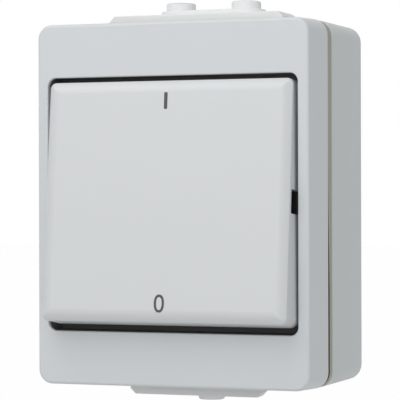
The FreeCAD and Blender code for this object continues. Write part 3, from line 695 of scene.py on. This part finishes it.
class SWITCH_OT_rocker(BuildOperator, bpy.types.Operator):
    """Build the rocker with its notch and its on and off marks"""
    bl_idname = "switch.rocker"
    bl_label = "Rocker and marks"

    def execute(self, context):
        size = context.scene.switch_rocker
        face = size.pivot_depth - size.reach
        rim = size.pivot_depth - size.rim_reach
        edge = face + size.bevel_depth
        spread = math.tan(size.draft) * (rim - edge)
        half_x = size.width / 2
        half_z = size.height / 2
        wall = size.wall
        inner = face + wall
        inset = size.bevel_width
        cap = 0.004
        corners = [
            (half_x - cap, half_z - cap, 0.0003, face, 0.0),
            (half_x - inset, half_z - inset, size.corner - inset, face, size.bevel_blend),
            (half_x, half_z, size.corner, edge, size.arris),
            (half_x + spread, half_z + spread, size.corner + spread, rim, 0.0002),
            (half_x + spread - wall, half_z + spread - wall, 0.0022, rim, 0.0002),
            (half_x - wall, half_z - wall, 0.0018, inner, 0.0004),
            (half_x - wall - cap, half_z - wall - cap, 0.001, inner, 0.0),
        ]
        rocker = finish_mesh("rocker_button", moulded_ring(corners, False))
        cut_out(rocker, self.notch(size, face, rim))
        rocker.data.transform(rocker_turn())
        rocker.data.set_sharp_from_angle(angle=SHARP_ANGLE)
        join_body(rocker, "rocker", "rocker_plastic", finish("rocker"), "rocker_plate")
        self.marks(size, face)
        return {"FINISHED"}

    def notch(self, size, face, rim):
        """Cutter for the lever notch, with its level edges next to the face rounded."""
        half_x = size.width / 2
        notch = box_mesh((half_x - size.wall - 0.001, face + size.notch_land, -size.notch_height / 2),
                         (half_x + 0.004, rim + 0.001, size.notch_height / 2))
        edges = [edge for edge in notch.edges
                 if abs(edge.verts[0].co.y - edge.verts[1].co.y) < 1e-6
                 and abs(edge.verts[0].co.x - edge.verts[1].co.x) > 1e-4
                 and edge.verts[0].co.y < rim]
        bmesh.ops.bevel(notch, geom=edges, offset=0.00015, segments=2, affect="EDGES")
        return finish_mesh("notch_cutter", notch)

    def marks(self, size, face):
        """The bar and the oval, each standing a hair out of the face."""
        top = face - size.mark_rise
        bottom = face + 0.0003
        half_x, half_z = ON_MARK_HALF
        bar = moulded_ring([(half_x - 0.0002, half_z - 0.0002, 0.0001, top, 0.0),
                            (half_x, half_z, 0.00025, top, 0.00004),
                            (half_x, half_z, 0.00025, bottom, 0.0)], False)
        half_x, half_z = OFF_MARK_HALF
        stroke = size.mark_stroke
        below = top + 0.00002
        fine = 0.00003
        oval = bmesh.new()
        add_rings(oval, [oval_ring(half_x + grow, half_z + grow, y)
                         for grow, y in ((0.0, bottom), (0.0, below), (-fine, top), (-stroke + fine, top),
                                         (-stroke, below), (-stroke, bottom))], True)
        for name, mesh, place in (("mark_on", bar, ON_MARK_PLACE), ("mark_off", oval, OFF_MARK_PLACE)):
            bmesh.ops.translate(mesh, vec=place, verts=mesh.verts)
            mark = finish_mesh(name, mesh)
            mark.data.transform(rocker_turn())
            join_body(mark, "rocker", "seal_rubber", finish("mark"))


class SWITCH_OT_box(BuildOperator, bpy.types.Operator):
    """Build the back box with its wall face and fixing slots"""
    bl_idname = "switch.box"
    bl_label = "Back box"

    def execute(self, context):
        box = softened(cad_copy("rear_box", "box_shell", False), context.scene.switch_housing.soft_edge)
        join_body(box, "root", "box_plastic", finish("box"), "rear_box")
        return {"FINISHED"}


class SWITCH_OT_gasket(BuildOperator, bpy.types.Operator):
    """Build the gasket in the seam, with the opening in its lower half"""
    bl_idname = "switch.gasket"
    bl_label = "Seam gasket"

    def execute(self, context):
        size = context.scene.switch_housing
        low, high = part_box("perimeter_gasket")
        half_x = high.x
        half_z = high.z
        corner = size.corner - (size.width / 2 - half_x)
        front = size.seam_front + 0.0001
        back = size.seam_back
        lip = 0.0018
        foot = 0.0034
        corners = [
            (half_x, half_z, corner, front, 0.00015),
            (half_x, half_z, corner, back, 0.00005),
            (half_x - foot, half_z - foot, 0.001, back, 0.0002),
            (half_x - foot, half_z - foot, 0.001, low.y, 0.0002),
            (half_x - lip, half_z - lip, corner - lip, low.y, 0.0003),
            (half_x - lip, half_z - lip, corner - lip, front, 0.0001),
        ]
        mesh = moulded_ring(corners)
        opening_top = 0.012
        opening_length = 0.03
        for vertex in mesh.verts:
            if front - 1e-5 < vertex.co.y < front + 0.0005 and vertex.co.x ** 2 + vertex.co.z ** 2 > 0.001:
                low_part = min(1.0, max(0.0, (opening_top - vertex.co.z) / opening_length))
                vertex.co.y += size.seam_opening * low_part * low_part * (3 - 2 * low_part)
        gasket = finish_mesh("seam_gasket", mesh)
        join_body(gasket, "root", "gasket_rubber", finish("gasket"), "perimeter_gasket")
        return {"FINISHED"}


class SWITCH_OT_entries(BuildOperator, bpy.types.Operator):
    """Build the soft cable entries at the top and the bottom"""
    bl_idname = "switch.entries"
    bl_label = "Cable entries"

    def execute(self, context):
        size = context.scene.switch_entry
        for part, name in (("top_cable_grommet", "top_entry"), ("bottom_cable_grommet", "bottom_entry")):
            entry = softened(cad_copy(part, name), size.soft_edge)
            join_body(entry, "root", "grommet_rubber", finish("entry"), part)
        return {"FINISHED"}


class SWITCH_OT_seal(BuildOperator, bpy.types.Operator):
    """Build the black seal that lines the tray"""
    bl_idname = "switch.seal"
    bl_label = "Rocker seal"

    def execute(self, context):
        seal = softened(cad_copy("rocker_seal", "tray_seal", False), 0.0001, 2)
        join_body(seal, "root", "seal_rubber", finish("seal"), "rocker_seal")
        return {"FINISHED"}


class SWITCH_OT_screws(BuildOperator, bpy.types.Operator):
    """Build the two cover screws with their cross recesses"""
    bl_idname = "switch.screws"
    bl_label = "Cover screws"

    def execute(self, context):
        size = context.scene.switch_fixing
        low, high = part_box("cover_screws")
        radius = size.head_radius
        spacing = high.z - low.z - 2 * radius
        head = 0.0015
        seat = low.y + head
        shank = 0.00125
        thread = 0.00145
        root = 0.00122
        pitch = 0.0009
        place = high.y - seat - 0.0005
        profile = [(shank, high.y - seat), (thread, place)]
        while place > 0.0012:
            profile += [(thread, place), (root, place - 0.0003), (thread, place - 0.0006)]
            place -= pitch
        profile += [(shank, 0.0004), (shank, 0.0), (radius - 0.0001, 0.0), (radius, -0.00012),
                    (radius, -head * 0.55), (radius * 0.94, -head * 0.78), (radius * 0.8, -head * 0.93),
                    (radius * 0.55, -head)]
        mesh = turned(profile, 32)
        bmesh.ops.rotate(mesh, verts=mesh.verts, cent=(0, 0, 0), matrix=Matrix.Rotation(-math.pi / 2, 3, "X"))
        bmesh.ops.translate(mesh, verts=mesh.verts, vec=(0, seat, 0))
        screw = finish_mesh("cover_screw_set", mesh)
        long, narrow = size.recess / 2, 0.00035
        for x, z in ((long, narrow), (narrow, long)):
            cross = box_mesh((-x, low.y - 0.001, -z), (x, low.y + 0.0009, z))
            cut_out(screw, finish_mesh("recess_cutter", cross))
        grown(screw, row_tree(), {"Count": 2, "Spacing Z": spacing, "Material": finish("zinc")})
        join_body(screw, "root", "zinc_steel", finish("zinc"), "cover_screws")
        return {"FINISHED"}


class SWITCH_OT_springs(BuildOperator, bpy.types.Operator):
    """Build the toggle springs in the barrels of the rocker"""
    bl_idname = "switch.springs"
    bl_label = "Toggle springs"

    def execute(self, context):
        size = context.scene.switch_fixing
        start = context.scene.switch_rocker.pivot_depth + BARREL_START
        wire = size.spring_wire
        for side, x in SPRING_SIDES:
            coil = plain_mesh("spring_coil_" + side, bmesh.new())
            grown(coil, coil_tree(), {
                "Turns": float(size.spring_turns), "Coil Radius": BARREL_RADIUS - 0.00001, "Wire": wire,
                "Length": BARREL_LENGTH - wire, "Start X": x, "Start Y": start + wire / 2,
                "Material": finish("spring")})
            coil.data.transform(rocker_turn())
            join_body(coil, "rocker", "spring_steel", finish("spring"), "toggle_spring_" + side)
        return {"FINISHED"}


class SWITCH_OT_mechanism(BuildOperator, bpy.types.Operator):
    """Give the inner pieces of the switch their finishes"""
    bl_idname = "switch.mechanism"
    bl_label = "Mechanism"

    def execute(self, context):
        kinds = {
            "mechanism_cradle": "lid", "mechanism_socket": "socket", "mechanism_lid": "lid",
            "inner_rocker": "lid", "pivot_pin": "zinc",
            "earth_terminal": "brass", "earth_terminal_spring": "spring", "fixed_contact_tips": "silver",
            "upper_terminal_springs": "spring", "lower_terminal_springs": "spring",
        }
        for side in ("left", "right"):
            kinds["spring_plunger_" + side] = "plunger"
            kinds["contact_seesaw_" + side] = "copper"
            kinds["moving_contact_" + side] = "silver"
            kinds["seesaw_bearing_" + side] = "copper"
            kinds["fixed_contact_" + side] = "copper"
        for part, kind in kinds.items():
            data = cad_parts[part].data
            data.materials.clear()
            data.materials.append(finish(kind))
        return {"FINISHED"}


class SWITCH_OT_stage(BuildOperator, bpy.types.Operator):
    """Set up the pale floor, the soft lamps, the white surroundings and the camera"""
    bl_idname = "switch.stage"
    bl_label = "Stage"

    def execute(self, context):
        stage = context.scene.switch_stage
        self.floor(stage)
        self.surroundings(context, stage)
        self.lamp("key lamp", (-0.08, -0.3, 0.36), 0.4, stage.key_power)
        self.lamp("front lamp", (0.0, -0.6, 0.155), 0.4, stage.front_power)
        self.lamp("side lamp", (0.951, -0.275, 0.174), 0.6, stage.side_power)
        self.camera(context)
        context.scene.view_settings.view_transform = "Standard"
        return {"FINISHED"}

    def seen(self, tree):
        """1 for rays from the camera, from a mirror or through glass, and 0 for the others."""
        path = node(tree, "ShaderNodeLightPath").outputs
        direct = maths(tree, "MAXIMUM", path["Is Camera Ray"], path["Is Glossy Ray"])
        return maths(tree, "MAXIMUM", direct, path["Is Transmission Ray"])

    def floor(self, stage):
        mesh = bmesh.new()
        bmesh.ops.create_grid(mesh, x_segments=1, y_segments=1, size=3.0)
        bmesh.ops.translate(mesh, verts=mesh.verts, vec=(0, 0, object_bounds()[0][2] - stage.floor_gap))
        thing = plain_mesh("floor", mesh)
        material, tree, shader = new_material("pale floor")
        shader.inputs["Base Color"].default_value = (0.80, 0.80, 0.80, 1.0)
        shader.inputs["Roughness"].default_value = 0.9
        glow = node(tree, "ShaderNodeEmission", {"Color": WHITE, "Strength": 1.0})
        mix = node(tree, "ShaderNodeMixShader", {"Fac": maths(tree, "MULTIPLY", self.seen(tree), FLOOR_GLOW),
                                                 1: shader.outputs["BSDF"], 2: glow.outputs["Emission"]})
        tree.links.new(mix.outputs["Shader"], tree.nodes["Material Output"].inputs["Surface"])
        thing.data.materials.append(material)
        thing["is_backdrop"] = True

    def surroundings(self, context, stage):
        world = bpy.data.worlds.new("white surroundings")
        context.scene.world = world
        world.use_nodes = True
        tree = world.node_tree
        level = node(tree, "ShaderNodeMapRange", {"Value": self.seen(tree), "To Min": stage.ambient,
                                                  "To Max": 1.0})
        back = tree.nodes["Background"]
        back.inputs["Color"].default_value = WHITE
        tree.links.new(level.outputs["Result"], back.inputs["Strength"])

    def lamp(self, name, place, size, watts):
        data = bpy.data.lights.new(name, "AREA")
        data.shape = "SQUARE"
        data.size = size
        data.energy = watts
        turn = (Vector(LAMP_TARGET) - Vector(place)).to_track_quat("-Z", "Y").to_matrix().to_4x4()
        added(name, data).matrix_world = Matrix.Translation(Vector(place)) @ turn

    def camera(self, context):
        data = bpy.data.cameras.new("product camera")
        data.sensor_width = 36.0
        data.lens = CAMERA_LENS
        data.clip_start = 0.01
        data.clip_end = 20.0
        thing = added("product camera", data)
        turn = Vector(CAMERA_FORWARD).to_track_quat("-Z", "Y").to_matrix().to_4x4()
        roll = Matrix.Rotation(CAMERA_ROLL, 4, "Z")
        thing.matrix_world = Matrix.Translation(Vector(CAMERA_PLACE)) @ turn @ roll
        context.scene.camera = thing


class SWITCH_PT_panel(bpy.types.Panel):
    """Lists the settings and the pieces of the switch"""
    bl_label = "Surface Switch"
    bl_idname = "SWITCH_PT_panel"
    bl_space_type = "VIEW_3D"
    bl_region_type = "UI"
    bl_category = "Switch"

    def draw(self, context):
        scene = context.scene
        for group in SETTINGS:
            box = self.layout.box()
            settings = getattr(scene, group)
            for name in settings.__annotations__:
                box.prop(settings, name)
        for operator in OPERATORS:
            self.layout.operator(operator.bl_idname)


SETTINGS = {
    "switch_housing": HousingSettings,
    "switch_rocker": RockerSettings,
    "switch_entry": EntrySettings,
    "switch_fixing": FixingSettings,
    "switch_finish": FinishSettings,
    "switch_stage": StageSettings,
}
OPERATORS = (SWITCH_OT_cover, SWITCH_OT_rocker, SWITCH_OT_box, SWITCH_OT_gasket, SWITCH_OT_entries,
             SWITCH_OT_seal, SWITCH_OT_screws, SWITCH_OT_springs, SWITCH_OT_mechanism, SWITCH_OT_stage)


def register():
    for name, group in SETTINGS.items():
        bpy.utils.register_class(group)
        setattr(bpy.types.Scene, name, PointerProperty(type=group))
    for operator in OPERATORS:
        bpy.utils.register_class(operator)
    bpy.utils.register_class(SWITCH_PT_panel)


def unregister():
    bpy.utils.unregister_class(SWITCH_PT_panel)
    for operator in reversed(OPERATORS):
        bpy.utils.unregister_class(operator)
    for name, group in SETTINGS.items():
        delattr(bpy.types.Scene, name)
        bpy.utils.unregister_class(group)


def main():
    register()
    bpy.ops.switch.cover()
    bpy.ops.switch.rocker()
    bpy.ops.switch.box()
    bpy.ops.switch.gasket()
    bpy.ops.switch.entries()
    bpy.ops.switch.seal()
    bpy.ops.switch.screws()
    bpy.ops.switch.springs()
    bpy.ops.switch.mechanism()
    bpy.ops.switch.stage()


if __name__ == "__main__":
    main()
